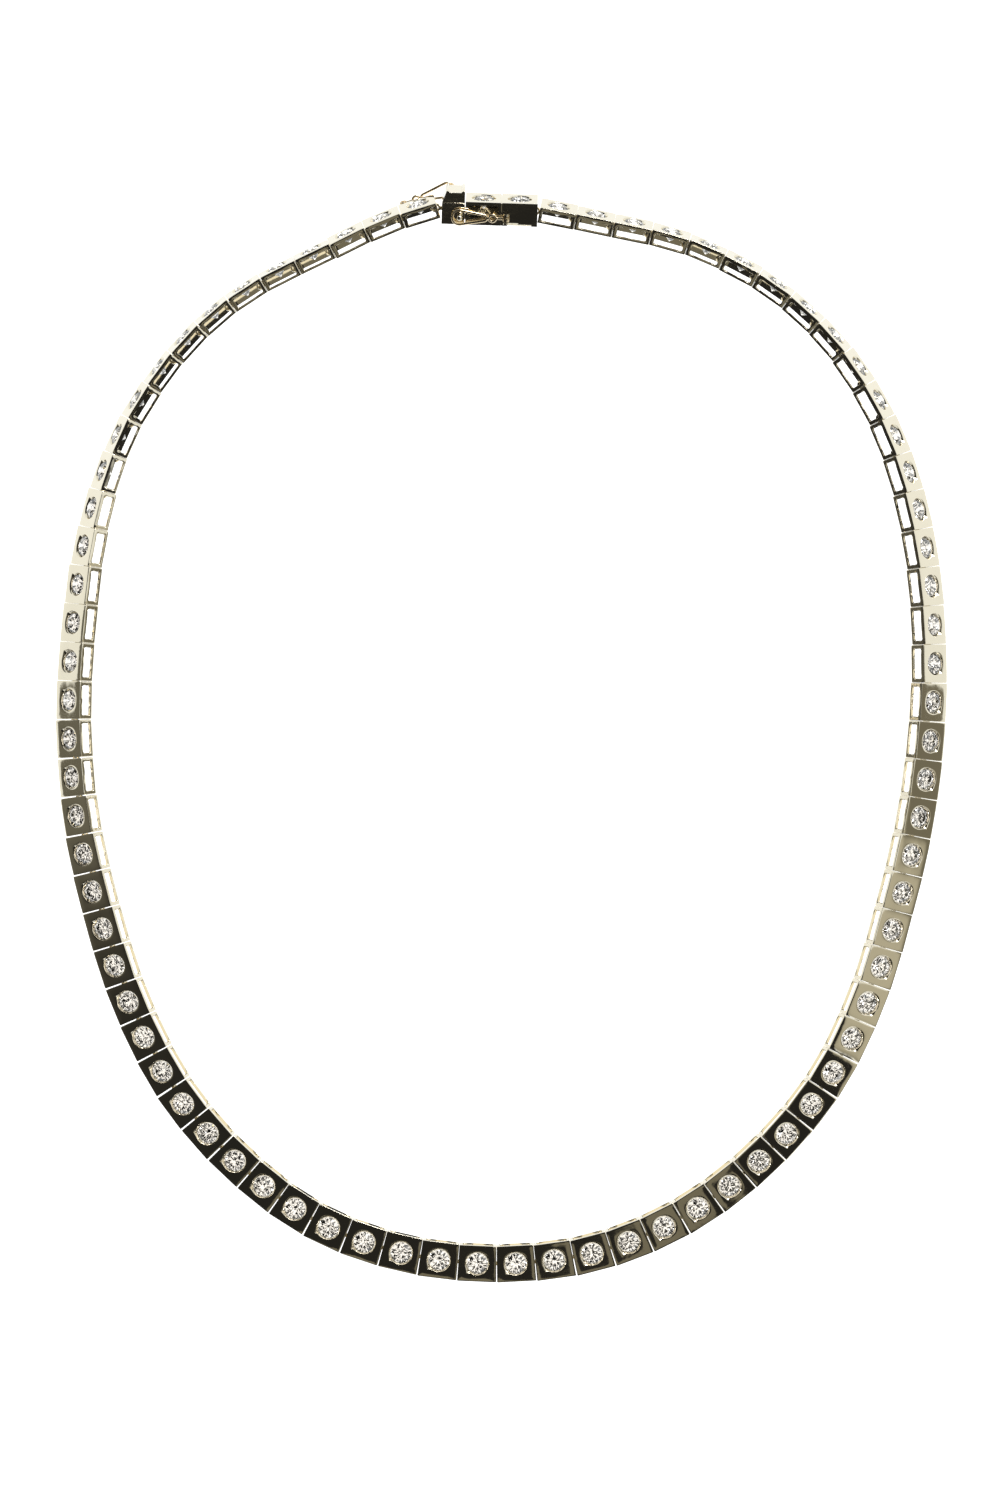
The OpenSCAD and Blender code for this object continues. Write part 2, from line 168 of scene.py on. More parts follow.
def lean_of(i):
    share = 1 if i == LINK_COUNT else (i + 0.5) / LINK_COUNT
    return math.radians(read_table(LEAN, share))


def axes_of(i):
    """The place of piece i, with columns along the chain, towards the outer side and out of the face"""
    start = joints[i]
    end = joints[(i + 1) % (LINK_COUNT + 1)]
    along_chain = (end - start).normalized()
    radial = Vector((-along_chain[1], along_chain[0], 0))
    lean = lean_of(i)
    out = radial * math.sin(lean) + Vector((0, 0, math.cos(lean)))
    side = out.cross(along_chain)
    turn = Matrix((along_chain, side, out)).transposed()
    return tilt @ turn, tilt @ start


# Each link lies a little askew on its ring, so each face catches the room differently, in degrees
ASKEW = {"X": 1.0, "Y": 0.5, "Z": 0.25}
MOST_ASKEW = 1.2


def link_places():
    dice = random.Random(LINK_SEED)
    middle = Vector((LINK_MID_X, 0, 0))
    made = []

    def small_turn(axis):
        angle = dice.gauss(0, ASKEW[axis])
        return Matrix.Rotation(math.radians(max(-MOST_ASKEW, min(MOST_ASKEW, angle))), 3, axis)

    for i in range(LINK_COUNT):
        turn, start = axes_of(i)
        roll = small_turn("X")
        pitch = small_turn("Y")
        yaw = small_turn("Z")
        askew = roll @ pitch @ yaw
        made.append((turn @ askew, start + turn @ (middle - askew @ middle)))
    return made


places = link_places()
clasp_place = axes_of(LINK_COUNT)


def placed(points, place):
    """Points of a piece, in millimetres, put in their place in the scene, in metres"""
    turn, start = place
    return (np.asarray(points) @ np.array(turn).T + np.array(start)) * MM


def new_object(name, points, faces, smooth):
    mesh = bpy.data.meshes.new(name)
    mesh.from_pydata([tuple(p) for p in points], [], faces)
    mesh.validate()
    if smooth:
        mesh.shade_smooth()
    else:
        mesh.shade_flat()
    made = bpy.data.objects.new(name, mesh)
    bpy.context.collection.objects.link(made)
    return made


# Edges that turn more than this stay sharp, in degrees, and the larger planes lead the shading
SHARP_ANGLE = 50
PLANE_WEIGHT = 80


def soft_edges(obj):
    obj.data.set_sharp_from_angle(angle=math.radians(SHARP_ANGLE))
    weighted = obj.modifiers.new("Even planes", "WEIGHTED_NORMAL")
    weighted.keep_sharp = True
    weighted.weight = PLANE_WEIGHT


# The points round a corner of an outline, and the degrees between them
CORNER_POINTS = 3
CORNER_STEP = 45


def outline(half_x, half_y, corner, sides):
    """An outline round a rectangle, anticlockwise from the corner before its right side"""
    right, top, left, bottom = sides
    points = []

    def add_corner(sign_x, sign_y, start):
        for k in range(CORNER_POINTS):
            a = math.radians(start + CORNER_STEP * k)
            x = sign_x * (half_x - corner) + corner * math.cos(a)
            y = sign_y * (half_y - corner) + corner * math.sin(a)
            points.append((x, y))

    add_corner(1, -1, -90)
    points.extend((half_x, y) for y in right)
    add_corner(1, 1, 0)
    points.extend((x, half_y) for x in top)
    add_corner(-1, 1, 90)
    points.extend((-half_x, y) for y in left)
    add_corner(-1, -1, 180)
    points.extend((x, -half_y) for x in bottom)
    return np.array(points)


# Where the columns of points stand on a link's right, top, left and bottom side: the slot's edges on the
# right, the window's edges and corners at the bottom, which is the inner wall, and even steps between
WINDOW_HALF = LINK_LEN / 2 - WINDOW_MARGIN
SIDES = (
    [-1.7, -1.0, -SLOT_HALF_W, SLOT_HALF_W, 1.0, 1.7],
    [1.8, 1.2, 0.6, 0, -0.6, -1.2, -1.8],
    [1.7, 1.0, 0.35, -0.35, -1.0, -1.7],
    [-WINDOW_HALF, WINDOW_R - WINDOW_HALF, -1.2, -0.6, 0, 0.6, 1.2, WINDOW_HALF - WINDOW_R, WINDOW_HALF],
)
SLOT_COLUMNS = (5, 6)
WINDOW_COLUMNS = (31, 39)
COLUMN_COUNT = 4 * CORNER_POINTS + sum(len(side) for side in SIDES)

# The bright cut seat: its mouth, its foot at the girdle, and a little notch in the mouth's edge, given by
# how far it reaches out at its middle column and at the columns beside it
MOUTH_R = 1.66
MOUTH_LIP = 0.02
MOUTH_LIP_DROP = 0.03
MOUTH_EDGE_DROP = 0.008
NOTCH = {0: 0.3, 1: 0.1}
NOTCH_ANGLE = math.radians(45)
SEAT_R = 1.49
SEAT_LOW_IN = 0.12
SEAT_GIRDLE_OUT = 0.01
SEAT_FOOT_OUT = 0.03
SEAT_FOOT_LIFT = 0.03

# The face, which falls away a little towards its edges, and the rings of points across it, by their share
# of the way from the mouth
FACE_SHARES = (0.0, 0.12, 0.3, 0.5, 0.7, 0.87, 1.0)
ROLL_DEPTH = 0.035
ROLL_WIDTH = 0.7
EDGE_R = 0.035
CORNER_R = 0.07
INNER_CORNER_R = 0.08

# Heights on a link's walls, from the middle of its thickness
WINDOW_TOP = 0.6
WINDOW_LOW = RAIL_T - LINK_TOP
BAR_TOP = BAR_H / 2 - BAR_DROP
BAR_LOW = -BAR_H / 2 - BAR_DROP
SLOT_LOW = BAR_LOW - SLOT_HIGH
LEVELS = [
    WINDOW_TOP, WINDOW_TOP - WINDOW_R, BAR_TOP, BAR_LOW, WINDOW_LOW + WINDOW_R, WINDOW_LOW, SLOT_LOW,
]

# The holes in the walls: columns, top, bottom, and whether their corners are round
HOLES = [
    (WINDOW_COLUMNS, WINDOW_TOP, WINDOW_LOW, True),
    (SLOT_COLUMNS, WINDOW_TOP, BAR_TOP, False),
    (SLOT_COLUMNS, BAR_LOW, SLOT_LOW, False),
]


def roll_off(x, y):
    """How far the face falls away towards its edges"""
    near_x = max(0, 1 - (LINK_LEN / 2 - abs(x)) / ROLL_WIDTH)
    near_y = max(0, 1 - (LINK_W / 2 - abs(y)) / ROLL_WIDTH)
    return ROLL_DEPTH * (near_x**2 + near_y**2)


def mouth_columns(first):
    """The directions from the stone's middle to the columns, and the mouth's radius in each"""
    notch_column = round((NOTCH_ANGLE - first) / (2 * math.pi) * COLUMN_COUNT)
    angles = first + 2 * math.pi * np.arange(COLUMN_COUNT) / COLUMN_COUNT
    angles += NOTCH_ANGLE - angles[notch_column]
    radii = []
    for k in range(COLUMN_COUNT):
        away = min((k - notch_column) % COLUMN_COUNT, (notch_column - k) % COLUMN_COUNT)
        radii.append(MOUTH_R + NOTCH.get(away, 0))
    return np.column_stack([np.cos(angles), np.sin(angles)]), np.array(radii)


def link_rings():
    """One link as rings of as many points, from the seat over the face and walls to the inside"""
    half_x = LINK_LEN / 2
    half_y = LINK_W / 2
    outer = outline(half_x, half_y, CORNER_R + EDGE_R, SIDES)
    face = outline(half_x - EDGE_R, half_y - EDGE_R, CORNER_R, SIDES)
    inner = outline(half_x - WALL, half_y - WALL, INNER_CORNER_R, SIDES)
    unit, mouth = mouth_columns(math.atan2(face[0][1], face[0][0]))
    rings = []

    def ring(points, heights):
        rings.append(np.column_stack([points, np.broadcast_to(heights, (COLUMN_COUNT,))]))

    under = LINK_TOP - FACE_T
    girdle = LINK_TOP + TABLE_PROUD - CROWN_H
    ring(unit * (SEAT_R - SEAT_LOW_IN), under)
    ring(unit * (SEAT_R + SEAT_GIRDLE_OUT), girdle - GIRDLE_H)
    ring(unit * (SEAT_R + SEAT_FOOT_OUT), girdle + SEAT_FOOT_LIFT)
    ring(unit * (mouth - MOUTH_LIP)[:, None], LINK_TOP - MOUTH_LIP_DROP)
    for share in FACE_SHARES:
        points = unit * mouth[:, None] * (1 - share) + face * share
        heights = np.array([LINK_TOP - roll_off(x, y) for x, y in points])
        if share == 0:
            heights = heights - MOUTH_EDGE_DROP
        ring(points, heights)
    edge_z = rings[-1][:, 2]
    for a in (math.radians(45), math.radians(90)):
        points = face + (outer - face) * math.sin(a)
        ring(points, edge_z - EDGE_R * (1 - math.cos(a)))
    first_wall = len(rings)
    for z in LEVELS:
        ring(outer, z)
    for a in (0, math.radians(45), math.radians(90)):
        points = outer + (face - outer) * (1 - math.cos(a))
        ring(points, EDGE_R * (1 - math.sin(a)) - LINK_TOP)
    ring(inner, -LINK_TOP)
    last_inside = len(rings) + len(LEVELS) - 1
    for z in reversed(LEVELS):
        ring(inner, z)
    ring(inner, under)
    return rings, first_wall, last_inside


def link_template():
    """One link's points and faces with its holes cut, and the edges round the holes"""
    rings, first_wall, last_inside = link_rings()
    points = np.vstack(rings)

    def vertex(level, k):
        return (level % len(rings)) * COLUMN_COUNT + k % COLUMN_COUNT

    def on_wall(k, level):
        return vertex(first_wall + level, k)

    def inside(k, level):
        return vertex(last_inside - level, k)

    gone = set()
    bridges = []
    rims = []
    for (low, high), top_z, bottom_z, rounded in HOLES:
        top = LEVELS.index(top_z)
        bottom = LEVELS.index(bottom_z)
        for k in range(low, high):
            for level in range(top, bottom):
                gone.add((first_wall + level, k))
                gone.add((last_inside - level - 1, k))
        loop = [(k, top) for k in range(low, high)]
        loop += [(high, level) for level in range(top, bottom)]
        loop += [(k, bottom) for k in range(high, low, -1)]
        loop += [(low, level) for level in range(bottom, top, -1)]
        if rounded:
            shift = WINDOW_R * (1 - math.sqrt(0.5))
            for k, level in ((low, top), (high, top), (low, bottom), (high, bottom)):
                for corner in (on_wall(k, level), inside(k, level)):
                    points[corner][0] += shift if k == low else -shift
                    points[corner][2] += -shift if level == top else shift
        for a, b in zip(loop, loop[1:] + loop[:1]):
            bridges.append((on_wall(*a), on_wall(*b), inside(*b), inside(*a)))
            rims.append((on_wall(*a), on_wall(*b)))
    faces = []
    for level in range(len(rings)):
        for k in range(COLUMN_COUNT):
            if (level, k) not in gone:
                faces.append((vertex(level, k), vertex(level + 1, k),
                              vertex(level + 1, k + 1), vertex(level, k + 1)))
    return points, faces + bridges, rims


# The ring's section with rounded edges, across and outward, in halves of its width and thickness
RING_SECTION = [
    (-0.5, 1), (-1, 0.55), (-1, -0.55), (-0.5, -1), (0.5, -1), (1, -0.55), (1, 0.55), (0.5, 1),
]
RING_STEPS = 18

# The tab that joins the ring to its link's end wall: half its height, how far past the hole it starts, and
# its share of the ring's width
TAB_HALF_H = 0.26
TAB_START = 0.06
TAB_SHARE = 0.96
SQUARE = ((-1, -1), (1, -1), (1, 1), (-1, 1))


def ring_template():
    """The flat ring that goes round the bar of the link before, and its tab"""
    middle = (RING_R + RING_HOLE_R) / 2
    half_thick = (RING_R - RING_HOLE_R) / 2
    size = len(RING_SECTION)
    points = []
    faces = []
    for k in range(RING_STEPS):
        a = 2 * math.pi * k / RING_STEPS
        for across, out in RING_SECTION:
            r = middle + half_thick * out
            points.append((r * math.cos(a), RING_W / 2 * across, r * math.sin(a) - BAR_DROP))
        start = k * size
        ahead = (k + 1) % RING_STEPS * size
        for j in range(size):
            after = (j + 1) % size
            faces.append((start + j, ahead + j, ahead + after, start + after))
    near = len(points)
    far = near + len(SQUARE)
    for x in (RING_HOLE_R + TAB_START, LINK_X + WALL / 2):
        for y, z in SQUARE:
            points.append((x, y * RING_W / 2 * TAB_SHARE, z * TAB_HALF_H - BAR_DROP))
    for j in range(len(SQUARE)):
        after = (j + 1) % len(SQUARE)
        faces.append((near + j, near + after, far + after, far + j))
    return np.array(points), faces


# The rounding of the edges round the holes
RIM_WIDTH = 0.1
RIM_SEGMENTS = 3
ROUND_PROFILE = 0.6


def finished_link():
    """The template link with its hole edges softened, and its middle at the origin along the chain"""
    points, faces, rims = link_template()
    mesh = bmesh.new()
    verts = [mesh.verts.new(p) for p in points]
    for face in faces:
        mesh.faces.new([verts[k] for k in face])
    mesh.edges.ensure_lookup_table()
    edges = [mesh.edges.get((verts[one], verts[two])) for one, two in rims]
    bmesh.ops.bevel(mesh, geom=edges, offset=RIM_WIDTH, segments=RIM_SEGMENTS, profile=ROUND_PROFILE,
                    affect="EDGES")
    bmesh.ops.recalc_face_normals(mesh, faces=mesh.faces)
    mesh.verts.index_update()
    body = np.array([tuple(v.co) for v in mesh.verts])
    body_faces = [tuple(v.index for v in f.verts) for f in mesh.faces]
    mesh.free()
    return body, body_faces


link_body, link_faces = finished_link()
ring_points, ring_faces = ring_template()

# How close two neighbours' ends come, by share of the chain, how much of the wedge between them stays
# open, and how far an end may reach out or draw back
NEAREST = [(0.58, 0.03), (0.62, 0.12), (0.75, 0.12), (0.78, 0.03)]
WEDGE_LEFT = 0.2
MOST_REACH = 0.27
MOST_DRAW_BACK = 0.05
END_CORNERS = [(y, z) for y in (-1, 1) for z in (-1, 1)]


def corner_reach(i):
    """How far the ends on both sides of joint i reach into the gap at their four corners"""
    if i == 0 or i == LINK_COUNT:
        return [0, 0, 0, 0]
    turn, start = places[i - 1]
    next_turn, next_start = places[i]
    between = (turn @ Vector((1, 0, 0)) + next_turn @ Vector((1, 0, 0))).normalized()
    room_left = []
    for y, z in END_CORNERS:
        before = turn @ Vector((LINK_X + LINK_LEN, y * LINK_W / 2, z * LINK_TOP)) + start
        after = next_turn @ Vector((LINK_X, y * LINK_W / 2, z * LINK_TOP)) + next_start
        room_left.append((after - before).dot(between))
    least = min(room_left)
    nearest = read_table(NEAREST, i / LINK_COUNT)
    wanted = [nearest + WEDGE_LEFT * (r - least) for r in room_left]
    return [max(-MOST_DRAW_BACK, min(MOST_REACH, (r - w) / 2)) for r, w in zip(room_left, wanted)]


reaches = [corner_reach(i) for i in range(LINK_COUNT + 1)]


def reach_at(i, y, z):
    """The reach at joint i at places across a link's end, between its four corners"""
    across = np.clip(y / LINK_W + 0.5, 0, 1)
    up = np.clip(z / LINK_T + 0.5, 0, 1)
    low_in, top_in, low_out, top_out = reaches[i]
    inner = low_in + (top_in - low_in) * up
    outer = low_out + (top_out - low_out) * up
    return inner + (outer - inner) * across


# The middle of a link keeps its length this far out, and its ends alone are stretched
STILL_HALF = 1.7

# A link's face is a little wavy from polishing: the wave's depth, its pace each way, its spread of phases,
# and how far below the rolled edge a point still counts as the face's
WAVE_DEPTH = 0.012
WAVE_PACE_X = 1.3
WAVE_PACE_Y = 1.5
WAVE_PHASE = 300
FACE_ROOM = 0.02


def chain_mesh(name, first, last):
    all_points = []
    all_faces = []
    base = 0
    dice = np.random.RandomState(WAVE_SEED)
    for i in range(first, last):
        body = link_body.copy()
        x, y, z = body.T
        share = np.clip((np.abs(x) - STILL_HALF) / (LINK_LEN / 2 - STILL_HALF), 0, 1)
        ahead = reach_at(i + 1, y, z)
        behind = reach_at(i, y, z)
        body[:, 0] = np.where(x > 0, x + share * ahead, x - share * behind)
        body[:, 0] += LINK_MID_X
        on_face = z > LINK_TOP - ROLL_DEPTH * 2 - FACE_ROOM
        lift_x, lift_y, phase_x, phase_y = dice.uniform(-WAVE_DEPTH, WAVE_DEPTH, 4)
        wave = lift_x * np.sin(WAVE_PACE_X * x + phase_x * WAVE_PHASE)
        wave += lift_y * np.cos(WAVE_PACE_Y * y + phase_y * WAVE_PHASE)
        body[:, 2] -= np.where(on_face, np.maximum(wave, 0), 0)
        for points, faces in ((body, link_faces), (ring_points, ring_faces)):
            all_points.append(placed(points, places[i]))
            all_faces += [tuple(base + k for k in f) for f in faces]
            base += len(points)
    return new_object(name, np.vstack(all_points), all_faces, True)


# A round brilliant has eight main facets, and its girdle has twice as many sides. The stars end at a share
# of the crown's height, and the pavilion's mains are widest at a share of the girdle's radius
MAINS = 8
GIRDLE_SIDES = 2 * MAINS
HALF_STEP = 180 / MAINS
STAR_SHARE = 0.5
LOW_SHARE = 0.22


def brilliant():
    """A round brilliant with 57 facets and a faceted girdle, its face plane at z = 0"""
    girdle_top = TABLE_PROUD - CROWN_H
    girdle_low = girdle_top - GIRDLE_H
    widen = math.cos(math.radians(HALF_STEP))
    star_r = (STONE_R + TABLE_R) / 2 / widen
    star_z = TABLE_PROUD - CROWN_H * STAR_SHARE
    low_r = STONE_R * LOW_SHARE / widen
    low_z = girdle_low - PAVILION_H * (1 - LOW_SHARE)
    points = []

    def circle(count, radius, z, start=0):
        for k in range(count):
            a = math.radians(360 / count * k + start)
            points.append((radius * math.cos(a), radius * math.sin(a), z))

    circle(MAINS, TABLE_R, TABLE_PROUD)
    circle(MAINS, star_r, star_z, HALF_STEP)
    circle(GIRDLE_SIDES, STONE_R, girdle_top)
    circle(GIRDLE_SIDES, STONE_R, girdle_low)
    circle(MAINS, low_r, low_z, HALF_STEP)
    points.append((0, 0, girdle_low - PAVILION_H))

    def table(k):
        return k % MAINS

    def star(k):
        return MAINS + k % MAINS

    def upper(k):
        return 2 * MAINS + k % GIRDLE_SIDES

    def lower(k):
        return 2 * MAINS + GIRDLE_SIDES + k % GIRDLE_SIDES

    def deep(k):
        return 2 * MAINS + 2 * GIRDLE_SIDES + k % MAINS

    tip = len(points) - 1
    faces = [tuple(table(k) for k in range(MAINS))]
    for k in range(MAINS):
        faces.append((table(k), star(k), table(k + 1)))
        faces.append((table(k), star(k - 1), upper(2 * k), star(k)))
        faces.append((star(k), upper(2 * k), upper(2 * k + 1)))
        faces.append((star(k), upper(2 * k + 1), upper(2 * k + 2)))
        faces.append((lower(2 * k), deep(k), lower(2 * k + 1)))
        faces.append((lower(2 * k + 1), deep(k), lower(2 * k + 2)))
        faces.append((deep(k), lower(2 * k + 2), deep(k + 1), tip))
    for k in range(GIRDLE_SIDES):
        faces.append((upper(k), lower(k), lower(k + 1), upper(k + 1)))
    return np.array(points), faces


stone_points, stone_faces = brilliant()

# A stone's tip and sway, in degrees, and its size beside the CAD stone
TIP_SPREAD = 1.2
STONE_SCALE = 0.995


def stone_field(name, seats, seed):
    """Stones on seats, each turned by chance and a little tipped, as a setter leaves them"""
    dice = random.Random(seed)
    all_points = []
    all_faces = []
    for n, (place, middle) in enumerate(seats):
        spin = Matrix.Rotation(dice.uniform(0, math.radians(360 / MAINS)), 3, "Z")
        tip = Matrix.Rotation(math.radians(dice.gauss(0, TIP_SPREAD)), 3, "X")
        sway = Matrix.Rotation(math.radians(dice.gauss(0, TIP_SPREAD)), 3, "Y")
        turned = stone_points @ np.array(tip @ sway @ spin).T
        turned = turned * STONE_SCALE + np.array(middle)
        all_points.append(placed(turned, place))
        base = n * len(stone_points)
        all_faces += [tuple(base + k for k in f) for f in stone_faces]
    made = new_object(name, np.vstack(all_points), all_faces, False)
    shell = bmesh.new()
    shell.from_mesh(made.data)
    bmesh.ops.recalc_face_normals(shell, faces=shell.faces)
    shell.to_mesh(made.data)
    shell.free()
    return made


# The links are in two meshes, split about halfway along the chain
HALFWAY = 39
links_first = chain_mesh("links_first_half", 0, HALFWAY)
links_second = chain_mesh("links_second_half", HALFWAY, LINK_COUNT)
for half in (links_first, links_second):
    soft_edges(half)
link_seats = [(place, (LINK_MID_X, 0, LINK_TOP)) for place in places]
clasp_seats = [(clasp_place, (BOX_X + BOX_HALF_LEN * (k + 0.5), 0, CLASP_TOP)) for k in (0, 1)]
stones = stone_field("brilliants", link_seats, STONE_SEED)
clasp_stones = stone_field("clasp_brilliants", clasp_seats, CLASP_STONE_SEED)

# How a CAD copy is cleaned and softened: points closer than this are one, in metres, planes that differ by
# less than this are one, and edges that turn more than this are rounded, in degrees
MERGE_DISTANCE = 2e-6
PLANE_ANGLE = 1
EDGE_ANGLE = 35
SOFT_SEGMENTS = 2


def softened(node, name, width):
    """A copy of a CAD node with its edges softened by a width in millimetres"""
    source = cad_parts[node]
    mesh = source.data.copy()
    shell = bmesh.new()
    shell.from_mesh(mesh)
    bmesh.ops.remove_doubles(shell, verts=shell.verts, dist=MERGE_DISTANCE)
    bmesh.ops.dissolve_limit(shell, angle_limit=math.radians(PLANE_ANGLE), verts=shell.verts,
                             edges=shell.edges)
    edges = [e for e in shell.edges
             if len(e.link_faces) == 2 and e.calc_face_angle(0) > math.radians(EDGE_ANGLE)]
    bmesh.ops.bevel(shell, geom=edges, offset=width * MM, segments=SOFT_SEGMENTS, profile=ROUND_PROFILE,
                    affect="EDGES", clamp_overlap=True)
    shell.to_mesh(mesh)
    shell.free()
    mesh.name = name
    mesh.shade_smooth()
    made = bpy.data.objects.new(name, mesh)
    bpy.context.collection.objects.link(made)
    made.matrix_world = source.matrix_world.copy()
    soft_edges(made)
    return made


clasp_box = softened("clasp_box", "clasp_box_body", width=0.05)
clasp_tongue = softened("clasp_tongue", "clasp_thumb_piece", width=0.07)
near_catch = softened("near_catch", "near_catch_wire", width=0.03)
far_catch = softened("far_catch", "far_catch_wire", width=0.03)


def set_inputs(node, values):
    for name, value in values.items():
        node.inputs[name].default_value = value


def new_material(name, values):
    made = bpy.data.materials.new(name)
    made.use_nodes = True
    set_inputs(made.node_tree.nodes["Principled BSDF"], values)
    return made


def gold_material(name, colour, smooth, rough_most):
    """Polished gold with hairlines from wear and the slow unevenness of work by hand"""
    made = new_material(name, {"Base Color": colour, "Metallic": 1})
    nodes = made.node_tree.nodes
    wires = made.node_tree.links
    shader = nodes["Principled BSDF"]
    place = nodes.new("ShaderNodeTexCoord")
    stretch = nodes.new("ShaderNodeMapping")
    set_inputs(stretch, {"Scale": (900, 9000, 5000), "Rotation": (0.5, 0.3, 0.7)})
    hairs = nodes.new("ShaderNodeTexNoise")
    set_inputs(hairs, {"Scale": 1, "Detail": 3})
    wires.new(place.outputs["Object"], stretch.inputs["Vector"])
    wires.new(stretch.outputs["Vector"], hairs.inputs["Vector"])
    rough = nodes.new("ShaderNodeMapRange")
    set_inputs(rough, {"From Min": 0.35, "From Max": 0.75, "To Min": smooth, "To Max": rough_most})
    wires.new(hairs.outputs["Fac"], rough.inputs["Value"])
    wires.new(rough.outputs["Result"], shader.inputs["Roughness"])
    soft = nodes.new("ShaderNodeTexNoise")
    set_inputs(soft, {"Scale": 450, "Detail": 2})
    wires.new(place.outputs["Object"], soft.inputs["Vector"])
    bump = nodes.new("ShaderNodeBump")
    set_inputs(bump, {"Strength": 0.35, "Distance": 0.00003})
    wires.new(soft.outputs["Fac"], bump.inputs["Height"])
    wires.new(bump.outputs["Normal"], shader.inputs["Normal"])
    return made


WHITE = (1, 1, 1, 1)
POLISHED_GOLD = (0.93, 0.85, 0.68, 1)
WIRE_GOLD = (0.96, 0.8, 0.56, 1)
gold = gold_material("polished_yellow_gold", POLISHED_GOLD, smooth=0.035, rough_most=0.1)
drawn_gold = gold_material("drawn_gold_wire", WIRE_GOLD, smooth=0.08, rough_most=0.18)
brilliant_white = new_material(
    "white_brilliant", {"Base Color": WHITE, "Roughness": 0, "IOR": 2.42, "Transmission Weight": 1})


def dress(obj, material, body, node):
    obj.data.materials.clear()
    obj.data.materials.append(material)
    for face in obj.data.polygons:
        face.material_index = 0
    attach(obj, body)
    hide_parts(node)


dress(links_first, gold, "necklace", "links")
dress(links_second, gold, "necklace", "links")
dress(stones, brilliant_white, "necklace", "stones")
dress(clasp_stones, brilliant_white, "necklace", "clasp_stones")
dress(clasp_box, gold, "necklace", "clasp_box")
dress(clasp_tongue, gold, "necklace", "clasp_tongue")
dress(near_catch, drawn_gold, "near_catch", "near_catch")
dress(far_catch, drawn_gold, "far_catch", "far_catch")

# The floor, far enough below that no shadow shows
FLOOR_Z = -0.25
FLOOR_HALF = 6
floor_mesh = bpy.data.meshes.new("floor")
floor_mesh.from_pydata([(x * FLOOR_HALF, y * FLOOR_HALF, FLOOR_Z) for x, y in SQUARE], [], [(0, 1, 2, 3)])
floor = bpy.data.objects.new("floor", floor_mesh)
bpy.context.collection.objects.link(floor)
PALE = (0.9, 0.9, 0.9, 1)
white_floor = new_material("white_floor", {
    "Base Color": PALE, "Roughness": 0.9, "Emission Color": WHITE, "Emission Strength": 0.75})
floor_mesh.materials.append(white_floor)
# Polished gold and the stones pick up the room's tones instead of the floor
floor.visible_glossy = False
floor.visible_transmission = False

# Directions as the front sees them, square to the chain's plane
VIEW_DIR = Vector((0, -math.sin(RING_TILT), math.cos(RING_TILT)))
UP_DIR = Vector((0, math.cos(RING_TILT), math.sin(RING_TILT)))
RIGHT_DIR = Vector((1, 0, 0))

# The room: white all round and behind, with round zones of other tones in front. Each zone has its angle
# away from the front, its turn anticlockwise from the right, its radius and its edge's softness, in degrees
DARK_SIDE = (29.5, -167, 70.6, 0.8)
RIGHT_SIDE = (66.5, -11, 26.5, 0.8)
RIGHT_CORE = (55, -18, 12, 6)
WHITE_PATCH = (44, 18, 23, 3)
OLIVE_PATCHES = [(19, -66, 9.5, 0.8), (24, -100, 8.5, 0.8)]
OLIVE = (0.168, 0.158, 0.121, 1)
KHAKI = (0.47, 0.452, 0.371, 1)
SIDE_WHITE = (0.84, 0.865, 0.856, 1)
BACK_WHITE = (1.02, 1.05, 1.06, 1)

# The dark side's tones from the front to the far left
DARK_TONES = [
    (0.3, (0.018, 0.0178, 0.0165, 1)),
    (0.7, (0.025, 0.0245, 0.0215, 1)),
    (0.84, (0.046, 0.0445, 0.0375, 1)),
    (0.9, (0.066, 0.063, 0.052, 1)),
    (1, (0.14, 0.1355, 0.11, 1)),
]

# What the stones gather from above and around: bright, with dark corners of the room between
STONE_BRIGHT = (1.6, 1.5, 1.34, 1)
STONE_GREY = (0.25, 0.235, 0.21, 1)
STONE_DARK = (0.01, 0.01, 0.009, 1)
STONE_SIDE = (1.4, 1.35, 1.25, 1)
STONE_TONES = [(0.515, STONE_DARK), (0.525, STONE_GREY), (0.54, STONE_GREY), (0.55, STONE_BRIGHT)]

# How far the olive patches' edges are bent
BEND = 0.16

world = bpy.data.worlds.new("Studio")
bpy.context.scene.world = world
world.use_nodes = True
sky = world.node_tree.nodes
sky_wires = world.node_tree.links
straight = sky.new("ShaderNodeTexCoord").outputs["Generated"]


def vector_math(operation, *sources):
    """A vector sum of outputs and fixed vectors"""
    made = sky.new("ShaderNodeVectorMath")
    made.operation = operation
    for socket, source in zip(made.inputs, sources):
        if isinstance(source, tuple):
            socket.default_value = source
        else:
            sky_wires.new(source, socket)
    return made.outputs


def sky_noise(scale, detail):
    made = sky.new("ShaderNodeTexNoise")
    set_inputs(made, {"Scale": scale, "Detail": detail})
    sky_wires.new(straight, made.inputs["Vector"])
    return made.outputs


def share_along(source, axis, low, high):
    """0 where a direction lies along an axis by the low share, 1 by the high share"""
    made = sky.new("ShaderNodeMapRange")
    set_inputs(made, {"From Min": low, "From Max": high})
    sky_wires.new(vector_math("DOT_PRODUCT", source, tuple(axis))["Value"], made.inputs["Value"])
    return made


def zone(spot, source):
    """1 inside a round zone of the sky, 0 outside it"""
    away, turn, radius, softness = spot
    a = math.radians(away)
    t = math.radians(turn)
    centre = VIEW_DIR * math.cos(a) + (RIGHT_DIR * math.cos(t) + UP_DIR * math.sin(t)) * math.sin(a)
    edge = share_along(source, centre, math.cos(math.radians(radius + softness)),
                       math.cos(math.radians(radius - softness)))
    edge.interpolation_type = "SMOOTHSTEP"
    return edge.outputs["Result"]


